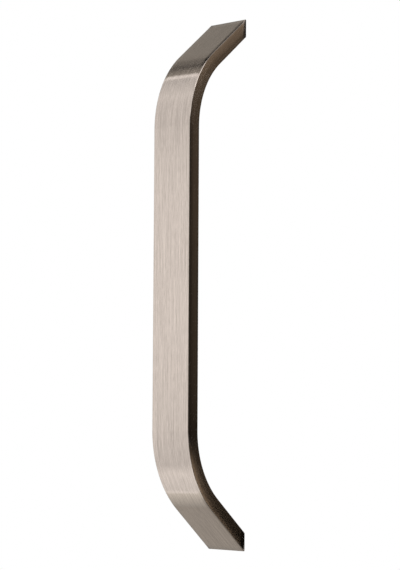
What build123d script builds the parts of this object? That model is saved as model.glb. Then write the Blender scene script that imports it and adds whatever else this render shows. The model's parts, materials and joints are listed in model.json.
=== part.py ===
from build123d import *
import os
from math import cos, radians, sin, tan

# A flat bar bow handle for a cabinet door, cast in one piece. All sizes are in mm and degrees.
# The grip stands along Z, its front faces -Y, and the door's face lies at Y = 0.
# The origin is on the door's face, midway between the two screw holes.

# The bar
bar_width = 15.0
bar_thickness = 4.7
arris_radius = 0.25

# The bow, seen from the side
hole_spacing = 160.0
end_past_hole = 7.0
projection = 28.5
leg_turn = 50.5
front_bend_radius = 33.0
foot_edge_radius = 0.1

# The lug behind each foot, and the blind hole in it that is tapped M4
tap_drill_radius = 1.65
lug_wall = 1.55
lug_root_radius = 0.6
metal_over_hole = 0.9
mouth_chamfer = 0.35
drill_point_angle = 118.0

turn = radians(leg_turn)
back_bend_radius = front_bend_radius - bar_thickness
hole_z = hole_spacing / 2
end_z = hole_z + end_past_hole

# The door cuts each leg at a slant, so a foot is longer than the bar is thick.
foot_length = bar_thickness / sin(turn)
foot_inner_z = end_z - foot_length

# Where the flat faces of the grip and of a leg would meet if the bend were sharp.
grip_back_y = bar_thickness - projection
front_corner_z = end_z - projection / tan(turn)
back_corner_z = foot_inner_z + grip_back_y / tan(turn)

# The leg slants over the hole, so the drill stops where just enough metal is left at its outer edge.
hole_depth = (end_past_hole - tap_drill_radius) * tan(turn) - metal_over_hole / cos(turn)
drill_point_depth = tap_drill_radius / tan(radians(drill_point_angle / 2))

# Upper lug: a wedge between the door's face and the middle of the leg, rounded about the hole.
lug_radius = tap_drill_radius + lug_wall
nose_z = hole_z - lug_radius
mid_leg_z = (foot_inner_z + end_z) / 2

with BuildPart() as screw_lug:
    with BuildSketch(Plane.YZ):
        with BuildLine():
            Polyline(
                (0, nose_z),
                (0, mid_leg_z),
                ((nose_z - mid_leg_z) * tan(turn), nose_z),
                close=True,
            )
        make_face()
    extrude(amount=lug_radius, both=True)
    with BuildSketch(Plane.XZ):
        with Locations((0, hole_z)):
            Circle(lug_radius)
            Rectangle(2 * lug_radius, end_past_hole, align=(Align.CENTER, Align.MIN))
    extrude(amount=projection, mode=Mode.INTERSECT)

# Upper hole, square to the door, as the metal that the drill and the countersink take away.
with BuildPart() as screw_hole:
    with BuildSketch(Plane.YZ):
        with BuildLine():
            Polyline(
                (0, hole_z),
                (0, hole_z + tap_drill_radius + mouth_chamfer),
                (-mouth_chamfer, hole_z + tap_drill_radius),
                (-hole_depth, hole_z + tap_drill_radius),
                (-hole_depth - drill_point_depth, hole_z),
                close=True,
            )
        make_face()
    revolve(axis=Axis((0, 0, hole_z), (0, 1, 0)))

# The handle: the bow's side outline made as wide as the bar, then its lugs and holes.
with BuildPart() as handle:
    with BuildSketch(Plane.YZ):
        with BuildLine():
            front = FilletPolyline(
                (0, -end_z),
                (-projection, -front_corner_z),
                (-projection, front_corner_z),
                (0, end_z),
                radius=front_bend_radius,
            )
            back = FilletPolyline(
                (0, -foot_inner_z),
                (grip_back_y, -back_corner_z),
                (grip_back_y, back_corner_z),
                (0, foot_inner_z),
                radius=back_bend_radius,
            )
            Line(front @ 0, back @ 0)
            Line(front @ 1, back @ 1)
        make_face()
    extrude(amount=bar_width / 2, both=True)

    # The long arrises are rounded from foot to foot, but not where they meet the door.
    side_outlines = handle.edges().filter_by(Axis.X, reverse=True)
    fillet(side_outlines - side_outlines.group_by(Axis.Y)[-1], radius=arris_radius)

    # Each lug runs into the back of its leg with a round root, and lies flush with the foot.
    add(screw_lug.part)
    mirror(screw_lug.part, about=Plane.XY)
    curved_edges = handle.edges().filter_by(GeomType.ELLIPSE)
    fillet(curved_edges.filter_by_position(Axis.X, -lug_radius, lug_radius), radius=lug_root_radius)
    fillet(handle.edges().group_by(Axis.Y)[-1], radius=foot_edge_radius)

    add(screw_hole.part, mode=Mode.SUBTRACT)
    mirror(screw_hole.part, about=Plane.XY, mode=Mode.SUBTRACT)

handle.part.label = "handle"
os.makedirs("parts", exist_ok=True)
export_step(handle.part, "parts/handle.step")
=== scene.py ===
import json
from math import acos, atan2, cos, pi, radians, sin, tan

import bmesh
import bpy
from mathutils import Matrix, Vector


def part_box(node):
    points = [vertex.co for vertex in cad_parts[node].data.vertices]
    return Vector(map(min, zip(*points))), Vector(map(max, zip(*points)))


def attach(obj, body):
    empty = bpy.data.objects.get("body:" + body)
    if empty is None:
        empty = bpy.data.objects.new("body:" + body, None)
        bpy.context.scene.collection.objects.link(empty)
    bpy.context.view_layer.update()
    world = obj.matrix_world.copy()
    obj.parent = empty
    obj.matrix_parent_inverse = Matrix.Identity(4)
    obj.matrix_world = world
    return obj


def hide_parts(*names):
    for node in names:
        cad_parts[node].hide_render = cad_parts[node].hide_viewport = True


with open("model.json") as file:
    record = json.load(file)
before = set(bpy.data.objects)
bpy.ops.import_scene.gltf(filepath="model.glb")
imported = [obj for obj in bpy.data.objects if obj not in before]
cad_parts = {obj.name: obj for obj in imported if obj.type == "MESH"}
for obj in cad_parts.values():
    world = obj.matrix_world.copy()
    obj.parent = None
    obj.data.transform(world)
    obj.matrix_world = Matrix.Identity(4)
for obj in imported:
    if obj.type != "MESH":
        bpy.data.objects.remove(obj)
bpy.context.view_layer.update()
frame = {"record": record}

# The handle: a flat bar cast in zinc alloy, with a straight grip, two round bends and two legs that
# splay out to the door. It is brushed along the bar from foot to foot and plated in warm nickel.
# It is shaped in millimetres, and the finished mesh is brought to metres.
MM = 0.001
mounts = {mount["name"]: mount for mount in frame["record"]["mounts"]}
low, high = (Vector(corner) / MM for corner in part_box("handle"))
bar_width = high.x - low.x
bar_thickness = 4.7
arris_radius = 0.25
projection = -low.y
front_bend_radius = 33
turn = radians(50.5)
hole_z = mounts["upper_screw_hole"]["pos_m"][2] / MM
end_past_hole = 7
end_z = hole_z + end_past_hole
foot_edge_radius = 0.1

# The upper bend: its centre, the height at which it starts, its length along the front, and how
# far along the front from mid-grip it ends.
bend_centre_y = front_bend_radius - projection
bend_start_z = end_z - projection / tan(turn) - front_bend_radius * tan(turn / 2)
bend_length = front_bend_radius * turn
bend_end = bend_start_z + bend_length


def place_on_bar(along, across, depth):
    """A point of the upper half: so far along the front from mid-grip, across it and under it."""
    past_grip = along - bend_start_z
    angle = min(max(past_grip / front_bend_radius, 0), turn)
    radius = front_bend_radius - depth
    straight = min(past_grip, 0) + max(past_grip - bend_length, 0)
    y = bend_centre_y - radius * cos(angle) + straight * sin(angle)
    z = bend_start_z + radius * sin(angle) + straight * cos(angle)
    return Vector((across, y, z))


def bar_section(corner_steps=6):
    """The bar's section with its rounded arrises: across, depth, and the way out in both."""
    half = bar_width / 2 - arris_radius
    front, back = arris_radius, bar_thickness - arris_radius
    corners = ((1, front, 0), (1, back, 90), (-1, back, 180), (-1, front, 270))
    points = []
    for side, middle_depth, start_angle in corners:
        for step in range(corner_steps + 1):
            angle = radians(start_angle + 90 * step / corner_steps)
            out_across, out_depth = sin(angle), -cos(angle)
            across = side * half + arris_radius * out_across
            points.append((across, middle_depth + arris_radius * out_depth, out_across, out_depth))
    return points


def skin(rings):
    """A closed mesh from rings of points, each joined to the next, with a face over each end."""
    same_point = 0.001
    mesh = bmesh.new()
    rows = [[mesh.verts.new(point) for point in ring] for ring in rings]
    count = len(rows[0])
    for one, other in zip(rows, rows[1:]):
        for i in range(count):
            j = (i + 1) % count
            mesh.faces.new((one[i], one[j], other[j], other[i]))
    mesh.faces.new(rows[0][::-1])
    mesh.faces.new(rows[-1])
    bmesh.ops.remove_doubles(mesh, verts=mesh.verts, dist=same_point)
    bmesh.ops.recalc_face_normals(mesh, faces=mesh.faces)
    data = bpy.data.meshes.new("blank")
    mesh.to_mesh(data)
    mesh.free()
    return bpy.data.objects.new("blank", data)


def foot_edge_rings(edge_steps=4):
    """The upper foot's edge, as rounded by a ball that rolls between the leg and the door."""
    rings = [[] for step in range(edge_steps + 1)]
    to_door = Vector((0, 1, 0))
    for across, depth, out_across, out_depth in bar_section():
        out = Vector((out_across, out_depth * cos(turn), -out_depth * sin(turn)))
        radius = front_bend_radius - depth
        reach = (-foot_edge_radius - bend_centre_y + radius * cos(turn)) / sin(turn)
        wall = place_on_bar(bend_end + reach, across, depth)
        level = Vector((out.x, 0, out.z))
        centre = wall - level * foot_edge_radius / level.length_squared
        for step, ring in enumerate(rings):
            ring.append(centre + foot_edge_radius * out.slerp(to_door, step / edge_steps))
    return rings


def bar_blank(grip_steps=14, bend_steps=60, leg_steps=5):
    """The bent bar from foot to foot, cut flat at the door, before its lugs and holes."""
    clear_of_foot = 1.5
    leg_end = bend_end + (-bend_centre_y + front_bend_radius * cos(turn)) / sin(turn)
    last_square = leg_end - (bar_thickness + clear_of_foot) / tan(turn)
    leg_run = last_square - bend_end
    stations = [bend_start_z * step / grip_steps for step in range(grip_steps)]
    stations += [bend_start_z + bend_length * step / bend_steps for step in range(bend_steps)]
    stations += [bend_end + leg_run * step / leg_steps for step in range(leg_steps + 1)]
    section = [(across, depth) for across, depth, *out in bar_section()]
    upper = [[place_on_bar(along, *point) for point in section] for along in stations]
    upper += foot_edge_rings()
    lower = [[Vector((point.x, point.y, -point.z)) for point in ring] for ring in upper[1:]]
    return skin(lower[::-1] + upper)


bar = bar_blank()
bpy.context.scene.collection.objects.link(bar)

# The lug behind each leg, cast in one with it: flush with the foot, round about its screw, and
# flared where it meets the leg.
tap_drill_radius = mounts["upper_screw_hole"]["dims"]["r_mm"]
lug_wall = 1.55
lug_radius = tap_drill_radius + lug_wall
lug_root_radius = 0.6
foot_inner_z = end_z - bar_thickness / sin(turn)


def lug_blank(up, nose_steps=28, side_steps=4, root_steps=6):
    """The lug's wall as rings about the screw, from the door to the back of the leg and into it."""
    past_leg_edge = 3 * foot_edge_radius
    least_depth = 2 * foot_edge_radius
    sunk_into_leg = 1.5
    root_dip = 0.012

    # The outline, seen from the door: from the leg down one side, round the nose and back up.
    root_z = foot_inner_z + past_leg_edge
    side = [hole_z + (root_z - hole_z) * step / side_steps for step in range(side_steps, 0, -1)]
    outline = [(lug_radius, z, 1, 0) for z in side]
    for step in range(nose_steps + 1):
        angle = pi * step / nose_steps
        out_x, out_z = cos(angle), -sin(angle)
        outline.append((lug_radius * out_x, hole_z + lug_radius * out_z, out_x, out_z))
    outline += [(-lug_radius, z, -1, 0) for z in side[::-1]]

    # The rounded edge at the door.
    rings = []
    for angle in (radians(90), radians(60), radians(30), 0):
        inset = foot_edge_radius * (1 - cos(angle))
        y = -foot_edge_radius * (1 - sin(angle))
        ring = [(x - inset * out_x, y, z - inset * out_z) for x, z, out_x, out_z in outline]
        rings.append([Vector(point) for point in ring])

    # The flared root, which leaves the wall before the corner and ends on the back of the leg.
    for step in range(root_steps + 1):
        share = step / root_steps
        ring = []
        for x, z, out_x, out_z in outline:
            corner = Vector((x, min((z - foot_inner_z) * tan(turn), -least_depth), z))
            run = Vector((out_x, out_z * tan(turn), out_z)).normalized()
            root_reach = lug_root_radius * tan((pi - acos(max(-1, min(1, run.y)))) / 2)
            reach = min(root_reach, -corner.y - least_depth)
            wall = corner + Vector((0, reach, 0))
            root = corner + run * reach
            point = wall.lerp(corner, share).lerp(corner.lerp(root, share), share)
            point.y -= root_dip * share
            ring.append(point)
        rings.append(ring)

    # The end, sunk into the leg so that the two join fully.
    sunk = sunk_into_leg / cos(turn)
    end = [(root.x, (root.z - foot_inner_z) * tan(turn) - sunk, root.z) for root in rings[-1]]
    rings.append([Vector(point) for point in end])
    for ring in rings:
        for point in ring:
            point.z *= up
    return skin(rings)


# The hole in each foot: drilled, countersunk and tapped M4 for the machine screw that comes through
# the door. The thread's flat and flank are shares of its pitch, and its runout is so many pitches.
thread_depth = mounts["upper_screw_hole"]["dims"]["length_mm"]
mouth_chamfer = 0.35
hole_depth = thread_depth + mouth_chamfer
drill_point_angle = radians(118)
thread_pitch = 0.7
thread_height = 0.35
half_thread_flat = 1 / 16
thread_flank = 0.289
thread_runout = 0.4


def tapped_hole(up, around=40, rows_a_pitch=10):
    """What the tools take away, as rings from just outside the foot to the tip of the drill."""
    outside_foot = 0.5
    tip_radius = 0.02

    def about_screw(radius, y, i):
        angle = 2 * pi * i / around
        return Vector((radius * cos(angle), y, up * hole_z + radius * sin(angle)))

    rows = round((hole_depth + outside_foot) / thread_pitch * rows_a_pitch)
    rings = []
    for row in range(rows + 1):
        depth = (hole_depth + outside_foot) * row / rows - outside_foot
        countersink = tap_drill_radius + mouth_chamfer - depth
        fade = min(max((hole_depth - depth) / thread_pitch - thread_runout, 0), 1)
        ring = []
        for i in range(around):
            phase = (depth / thread_pitch - i / around) % 1
            off_root = abs(phase - 0.5)
            cut = min(max(1 - (off_root - half_thread_flat) / thread_flank, 0), 1)
            thread = tap_drill_radius + thread_height * cut * fade
            ring.append(about_screw(max(thread, countersink), -depth, i))
        rings.append(ring)
    tip_y = -hole_depth - tap_drill_radius / tan(drill_point_angle / 2)
    rings.append([about_screw(tip_radius, tip_y, i) for i in range(around)])
    return skin(rings)


def join_or_cut(work, tool, operation):
    """Adds the tool's solid to the work or cuts it away, and closes up the hair-thin faces."""
    hair = 0.004
    bpy.context.scene.collection.objects.link(tool)
    boolean = work.modifiers.new("shape", "BOOLEAN")
    boolean.operation = operation
    boolean.solver = "EXACT"
    boolean.object = tool
    bpy.context.view_layer.update()
    shaped = bmesh.new()
    shaped.from_object(work, bpy.context.evaluated_depsgraph_get())
    bmesh.ops.remove_doubles(shaped, verts=shaped.verts, dist=hair)
    bmesh.ops.dissolve_degenerate(shaped, edges=shaped.edges, dist=hair)
    bmesh.ops.triangulate(shaped, faces=[face for face in shaped.faces if len(face.verts) > 4])
    work.modifiers.clear()
    shaped.to_mesh(work.data)
    shaped.free()
    bpy.data.objects.remove(tool)


for up in (1, -1):
    join_or_cut(bar, lug_blank(up), "UNION")
for up in (1, -1):
    join_or_cut(bar, tapped_hole(up), "DIFFERENCE")

# The finished casting, with its rounded faces smooth and its flat faces flat.
smooth_below = radians(32)
finished = bmesh.new()
finished.from_mesh(bar.data)
for face in finished.faces:
    face.smooth = True
for edge in finished.edges:
    edge.smooth = edge.is_manifold and edge.calc_face_angle() < smooth_below
bmesh.ops.scale(finished, vec=(MM, MM, MM), verts=finished.verts)
handle = bpy.data.objects.new("brushed_handle", bpy.data.meshes.new("brushed_handle"))
finished.to_mesh(handle.data)
finished.free()
bpy.data.objects.remove(bar)
bpy.context.scene.collection.objects.link(handle)


def read_on_bar(point):
    """How far along the bar and how deep under its front a point lies, and the bar's way there."""
    up = 1 if point.z >= 0 else -1
    y = bend_centre_y - point.y
    z = abs(point.z) - bend_start_z
    angle = min(max(atan2(z, y), 0), turn)
    depth = front_bend_radius - (y * cos(angle) + z * sin(angle))
    if angle >= turn:
        along = bend_end + z * cos(turn) - y * sin(turn)
    elif angle > 0:
        along = bend_start_z + front_bend_radius * angle
    else:
        along = bend_start_z + z
    return up * along, depth, Vector((0, up * sin(angle), cos(angle)))


# Where each point lies on the bar, and which way the brush ran there, for the material.
grain_place = handle.data.attributes.new("grain_place", "FLOAT_VECTOR", "POINT")
brush_way = handle.data.attributes.new("brush_way", "FLOAT_VECTOR", "POINT")
for vertex in handle.data.vertices:
    along, depth, way = read_on_bar(vertex.co / MM)
    grain_place.data[vertex.index].vector = (vertex.co.x / MM, depth, along)
    brush_way.data[vertex.index].vector = way

large_faces_lead = 100
weights = handle.modifiers.new("flat faces stay flat", "WEIGHTED_NORMAL")
weights.keep_sharp = True
weights.weight = large_faces_lead


def brushed_nickel():
    """Warm nickel over fine brush marks, with a gloss that is sharp along the bar only."""
    quarter_turn = 0.25
    dark_plate, light_plate = (0.53, 0.46, 0.41, 1), (0.76, 0.66, 0.59, 1)
    smoothest, roughest = 0.16, 0.20
    faint_mark, strong_mark = 0.38, 0.62
    mark_depth = 0.005
    worn_arris, arris_slope = 1.8, tan(radians(12))
    side_slope = 0.75 * arris_slope
    worn_foot, foot_slope = 2.2, tan(radians(16))

    material = bpy.data.materials.new("brushed_nickel")
    material.use_nodes = True
    nodes, links = material.node_tree.nodes, material.node_tree.links
    metal = nodes["Principled BSDF"]
    metal.inputs["Metallic"].default_value = 1
    metal.inputs["Anisotropic"].default_value = 1
    metal.inputs["Anisotropic Rotation"].default_value = quarter_turn

    place = nodes.new("ShaderNodeAttribute")
    place.attribute_name = "grain_place"
    way = nodes.new("ShaderNodeAttribute")
    way.attribute_name = "brush_way"
    links.new(way.outputs["Vector"], metal.inputs["Tangent"])

    def streaks(lines_per_mm, length_mm, detail):
        """Noise drawn out along the bar, with so many lines to a millimetre across it."""
        stretch = nodes.new("ShaderNodeMapping")
        stretch.inputs["Scale"].default_value = (lines_per_mm, lines_per_mm, 1 / length_mm)
        noise = nodes.new("ShaderNodeTexNoise")
        noise.inputs["Scale"].default_value = 1
        noise.inputs["Detail"].default_value = detail
        links.new(place.outputs["Vector"], stretch.inputs["Vector"])
        links.new(stretch.outputs["Vector"], noise.inputs["Vector"])
        return noise.outputs["Fac"]

    def spread(value, to_low, to_high):
        """The marks' own range of values, from faint to strong, moved to another range."""
        node = nodes.new("ShaderNodeMapRange")
        node.inputs["From Min"].default_value = faint_mark
        node.inputs["From Max"].default_value = strong_mark
        node.inputs["To Min"].default_value = to_low
        node.inputs["To Max"].default_value = to_high
        links.new(value, node.inputs["Value"])
        return node.outputs["Result"]

    def blend(one, other, share):
        """Two patterns laid over each other, the second with this share."""
        node = nodes.new("ShaderNodeMix")
        node.inputs["Factor"].default_value = share
        links.new(one, node.inputs["A"])
        links.new(other, node.inputs["B"])
        return node.outputs["Result"]

    def reckon(operation, one, other=0, third=0):
        """A sum, product or other result of one to three values, each a socket or a number."""
        node = nodes.new("ShaderNodeMath")
        node.operation = operation
        for socket, value in zip(node.inputs, (one, other, third)):
            if isinstance(value, (int, float)):
                socket.default_value = value
            else:
                links.new(value, socket)
        return node.outputs["Value"]

    short_marks = streaks(lines_per_mm=4, length_mm=3, detail=2)
    long_marks = streaks(lines_per_mm=3.5, length_mm=20, detail=1)
    fine_marks = blend(short_marks, long_marks, share=0.55)
    broad_marks = streaks(lines_per_mm=0.9, length_mm=30, detail=3)
    marks = blend(fine_marks, broad_marks, share=0.15)

    plate = nodes.new("ShaderNodeMix")
    plate.data_type = "RGBA"
    plate.inputs["A"].default_value = dark_plate
    plate.inputs["B"].default_value = light_plate
    links.new(spread(marks, 0, 1), plate.inputs["Factor"])
    links.new(plate.outputs["Result"], metal.inputs["Base Color"])
    links.new(spread(marks, smoothest, roughest), metal.inputs["Roughness"])

    def worn(into_edge, width, slope):
        """How deep a face is worn so far into its worn edge: not at all at first, then steeper."""
        return reckon("MULTIPLY", reckon("POWER", into_edge, 2), slope / (2 * width))

    # The brush wears the wide faces down a little beside the arrises, rounds the narrow ones right
    # across, and wears all of them beside the feet.
    on_bar = nodes.new("ShaderNodeSeparateXYZ")
    links.new(place.outputs["Vector"], on_bar.inputs["Vector"])
    from_middle = reckon("ABSOLUTE", on_bar.outputs["X"])
    past_flat = reckon("SUBTRACT", from_middle, bar_width / 2 - worn_arris)
    wide_wear = worn(reckon("MAXIMUM", past_flat, 0), worn_arris, arris_slope)
    half_thickness = bar_thickness / 2
    from_centre = reckon("ABSOLUTE", reckon("SUBTRACT", on_bar.outputs["Y"], half_thickness))
    off_centre = reckon("MINIMUM", from_centre, half_thickness)
    narrow_wear = worn(off_centre, half_thickness, side_slope)
    object_place = nodes.new("ShaderNodeTexCoord")
    from_door = nodes.new("ShaderNodeSeparateXYZ")
    links.new(object_place.outputs["Object"], from_door.inputs["Vector"])
    into_foot = reckon("MULTIPLY_ADD", from_door.outputs["Y"], 1 / MM, worn_foot)
    foot_wear = worn(reckon("MAXIMUM", into_foot, 0), worn_foot, foot_slope)
    wear = reckon("ADD", reckon("ADD", wide_wear, narrow_wear), foot_wear)
    relief = nodes.new("ShaderNodeBump")
    relief.inputs["Strength"].default_value = 1
    relief.inputs["Distance"].default_value = MM
    height = reckon("SUBTRACT", reckon("MULTIPLY", marks, mark_depth), wear)
    links.new(height, relief.inputs["Height"])
    links.new(relief.outputs["Normal"], metal.inputs["Normal"])
    return material


handle.data.materials.append(brushed_nickel())
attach(handle, "root")
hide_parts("handle")

# The camera: to the right of the handle's front and a little below its middle, half a metre away.
# It looks a little below the middle and leans over by 0.005 radians. Its sensor and lens are in
# millimetres.
azimuth, elevation = radians(39.84), radians(-4.47)
camera_distance = 539.5 * MM
camera_lean = 0.005
sensor_width, focal_length = 36, 105.75
middle = Vector((0, -14 * MM, 0))
aim = middle - Vector((0.07, 0.06, 1.43)) * MM
back = Vector((sin(azimuth) * cos(elevation), -cos(azimuth) * cos(elevation), sin(elevation)))
camera = bpy.data.objects.new("camera", bpy.data.cameras.new("camera"))
camera.location = middle + back * camera_distance
straight_at_it = (aim - camera.location).to_track_quat("-Z", "Y").to_matrix()
camera.rotation_euler = (straight_at_it @ Matrix.Rotation(camera_lean, 3, "Z")).to_euler()
camera.data.sensor_width = sensor_width
camera.data.lens = focal_length
bpy.context.scene.collection.objects.link(camera)
bpy.context.scene.camera = camera

# The studio: a tent of grey and white cloth, which only the metal mirrors. Its panels curve round
# the handle. A place on them is an angle from straight up, with the front as negative, and their
# seams fan out from right to left, as the brush marks draw a mirrored line.
tent_radius = 0.8
tent_left, tent_right = -1.5, 0.42
seam_fan, fan_middle = 0.45, -0.6
straight_ahead = -90

cloth = bpy.data.materials.new("tent_cloth")
cloth.use_nodes = True
cloth_nodes = cloth.node_tree.nodes
cloth_nodes.clear()
shade = cloth_nodes.new("ShaderNodeAttribute")
shade.attribute_name = "shade"
cloth_light = cloth_nodes.new("ShaderNodeEmission")
cloth_output = cloth_nodes.new("ShaderNodeOutputMaterial")
cloth.node_tree.links.new(shade.outputs["Color"], cloth_light.inputs["Color"])
cloth.node_tree.links.new(cloth_light.outputs["Emission"], cloth_output.inputs["Surface"])


def hang(name, rows, first, last, tint):
    """A cloth from rows of points, its brightness changing evenly from first row to last."""
    mesh = bmesh.new()
    corners = [[mesh.verts.new(point) for point in row] for row in rows]
    for one, other in zip(corners, corners[1:]):
        for i in range(len(one) - 1):
            mesh.faces.new((one[i], one[i + 1], other[i + 1], other[i]))
    data = bpy.data.meshes.new(name)
    mesh.to_mesh(data)
    mesh.free()
    glow = data.attributes.new("shade", "FLOAT_COLOR", "POINT")
    for index in range(len(data.vertices)):
        share = index // len(rows[0]) / (len(rows) - 1)
        level = first + (last - first) * share
        glow.data[index].color = (level * tint[0], level * tint[1], level * tint[2], 1)
    data.materials.append(cloth)
    panel = bpy.data.objects.new(name, data)
    panel.visible_camera = False
    panel.visible_diffuse = False
    panel.visible_transmission = False
    panel.visible_shadow = False
    bpy.context.scene.collection.objects.link(panel)


def tent_panel(name, start, end, first, last, left, right, fan, tint):
    """A curved panel from a start to an end angle, with its brightness at both."""
    degrees_a_row, columns = 4, 8
    hung_inside = 0.02
    radius = tent_radius if fan else tent_radius - hung_inside
    steps = max(1, round(abs(end - start) / degrees_a_row))
    rows = []
    for step in range(steps + 1):
        place = start + (end - start) * step / steps
        row = []
        for column in range(columns + 1):
            x = left + (right - left) * column / columns
            spread_out = 1 - fan * (x - fan_middle)
            angle = radians(straight_ahead + (place - straight_ahead) * spread_out)
            row.append((x, middle.y + radius * sin(angle), middle.z + radius * cos(angle)))
        rows.append(row)
    hang(name, rows, first, last, tint)


white = (1, 1, 1)
warm_grey = (1, 0.96, 0.88)
ivory = (1, 0.99, 0.94)
cream = (1, 0.97, 0.91)

# From behind, over the handle and down its front to the floor: each panel's name, start and end
# angle, brightness at both, right end and tint.
for name, start, end, first, last, right, tint in (
    ("ceiling_far", 84, 50, 0.16, 0.27, tent_right, warm_grey),
    ("ceiling_behind", 50, 16, 0.37, 0.335, -0.25, warm_grey),
    ("ceiling_over", 16, 4.5, 0.32, 0.22, tent_right, warm_grey),
    ("ceiling_seam", 4.5, 0.8, 0.135, 0.14, tent_right, warm_grey),
    ("lamp_frame", 0.8, -10.4, 0.175, 0.36, tent_right, warm_grey),
    ("lamp_edge", -10.4, -15, 1.08, 1.08, tent_right, white),
    ("front_top", -15, -38, 0.63, 0.90, tent_right, white),
    ("front_over", -38, -50, 0.89, 0.80, tent_right, white),
    ("front_high", -50, -74, 0.82, 0.82, tent_right, white),
    ("window_top", -74, -78, 0.84, 0.98, tent_right, white),
    ("window", -78, -90, 0.98, 0.98, tent_right, white),
    ("front_low", -90, -96, 0.98, 0.87, tent_right, white),
    ("front_under", -96, -134, 0.87, 0.78, tent_right, white),
    ("floor_lip", -134, -144, 0.79, 1.02, tent_right, white),
    ("floor_front", -144, -165, 1.0, 0.90, tent_right, white),
    ("floor_edge_line", -165, -167.8, 1.1, 1.1, tent_right, white),
    ("floor_shade", -167.8, -188, 0.85, 0.45, tent_right, ivory),
    ("floor_under", -188, -205, 0.445, 0.42, tent_right, cream),
    ("floor_far", -205, -236, 0.41, 0.32, tent_right, cream),
):
    tent_panel(name, start, end, first, last, tent_left, right, seam_fan, tint)

# Over and under the right arris, inside the tent: a dark gap and a grey cloth above, a bright lamp
# in front, grey below. Each panel's name, angles, brightness, left and right end, and tint.
for name, start, end, first, last, left, right, tint in (
    ("gap_over", 26, 8, 0.05, 0.04, -0.44, 0.12, warm_grey),
    ("gap_edge", 8, -8, 0.0, 0.0, -0.50, 0.12, warm_grey),
    ("cloth_right", 45, 3, 0.40, 0.45, 0.22, 0.66, white),
    ("lamp_right", -8, -36, 2.0, 2.0, 0.04, 1.1, white),
    ("floor_right", -165, -232, 0.22, 0.10, -0.30, 1.0, warm_grey),
):
    tent_panel(name, start, end, first, last, left, right, 0, tint)

# A dark brown screen stands round the tent's open side, for the side face and the right arris, with
# a grey one beside it in front. A place on them is an angle round the handle from its front.
brown = (1, 0.79, 0.57)


def screen_panel(name, low_edge, high_edge, first, last, start, end, tint=brown):
    """An upright curved panel from a low to a high edge, with its brightness at both."""
    degrees_a_column, fewest_columns = 6, 2
    columns = max(fewest_columns, round((end - start) / degrees_a_column))
    rows = []
    for z in (low_edge, high_edge):
        row = []
        for column in range(columns + 1):
            angle = radians(start + (end - start) * column / columns)
            row.append((tent_radius * sin(angle), middle.y - tent_radius * cos(angle), z))
        rows.append(row)
    hang(name, rows, first, last, tint)


# Each panel's name, low and high edge, brightness at both, and start and end angle.
for row in (
    ("screen_foot", -0.75, -0.125, 0.0, 0.002, 129, 155),
    ("step_under", -0.75, -0.37, 0.01, 0.03, 96, 129),
    ("step_light", -0.37, -0.28, 0.51, 0.66, 96, 129),
    ("step_lip", -0.28, -0.125, 0.46, 0.26, 96, 129),
    ("step_shade", -0.75, -0.11, 0.02, 0.01, 44, 96),
    ("screen_low", -0.125, -0.08, 0.038, 0.036, 128, 143),
    ("screen_low_back", -0.125, -0.08, 0.008, 0.008, 143, 155),
    ("screen_line", -0.08, -0.05, 0.021, 0.023, 128, 155),
    ("screen_end", -0.25, -0.05, 0.004, 0.006, 155, 180),
    ("screen_top_end", 0.19, 0.90, 0.02, 0.02, 150, 184),
    ("screen_middle", -0.05, 0.19, 0.036, 0.090, 128, 162),
    ("screen_back", -0.05, 0.19, 0.006, 0.006, 162, 180),
    ("screen_edge", -0.125, 0.19, 0.004, 0.004, 106, 128),
    ("screen_high", 0.19, 0.28, 0.074, 0.152, 123, 150),
    ("screen_over", 0.28, 0.46, 0.179, 0.315, 123, 150),
    ("screen_shade", 0.19, 0.46, 0.025, 0.04, 105, 123),
    ("screen_corner", 0.46, 1.05, 0.12, 0.12, 106, 134),
    ("screen_side", -0.11, 0.30, 0.035, 0.035, 60, 106),
    ("screen_side_over", 0.30, 0.75, 0.12, 0.12, 80, 105),
):
    screen_panel(*row)
screen_panel("screen_front", -0.11, 0.30, 0.20, 0.22, 8, 60, warm_grey)

# The room round the tent: white on all sides, with a pale round floor a metre under the handle.
world = bpy.data.worlds.new("white surround")
world.use_nodes = True
surround = world.node_tree.nodes["Background"]
surround.inputs["Color"].default_value = (1, 1, 1, 1)
surround.inputs["Strength"].default_value = 1
bpy.context.scene.world = world

floor_drop, floor_radius, floor_sides = 1.0, 3, 96
floor_grey, floor_roughness = (0.9, 0.9, 0.9, 1), 0.8
floor_mesh = bmesh.new()
bmesh.ops.create_circle(floor_mesh, cap_ends=True, segments=floor_sides, radius=floor_radius)
floor = bpy.data.objects.new("floor", bpy.data.meshes.new("floor"))
floor_mesh.to_mesh(floor.data)
floor_mesh.free()
floor.location.z = -floor_drop
pale = bpy.data.materials.new("pale_floor")
pale.use_nodes = True
pale_paint = pale.node_tree.nodes["Principled BSDF"]
pale_paint.inputs["Base Color"].default_value = floor_grey
pale_paint.inputs["Roughness"].default_value = floor_roughness
floor.data.materials.append(pale)
bpy.context.scene.collection.objects.link(floor)

bpy.context.scene.view_settings.view_transform = "Standard"
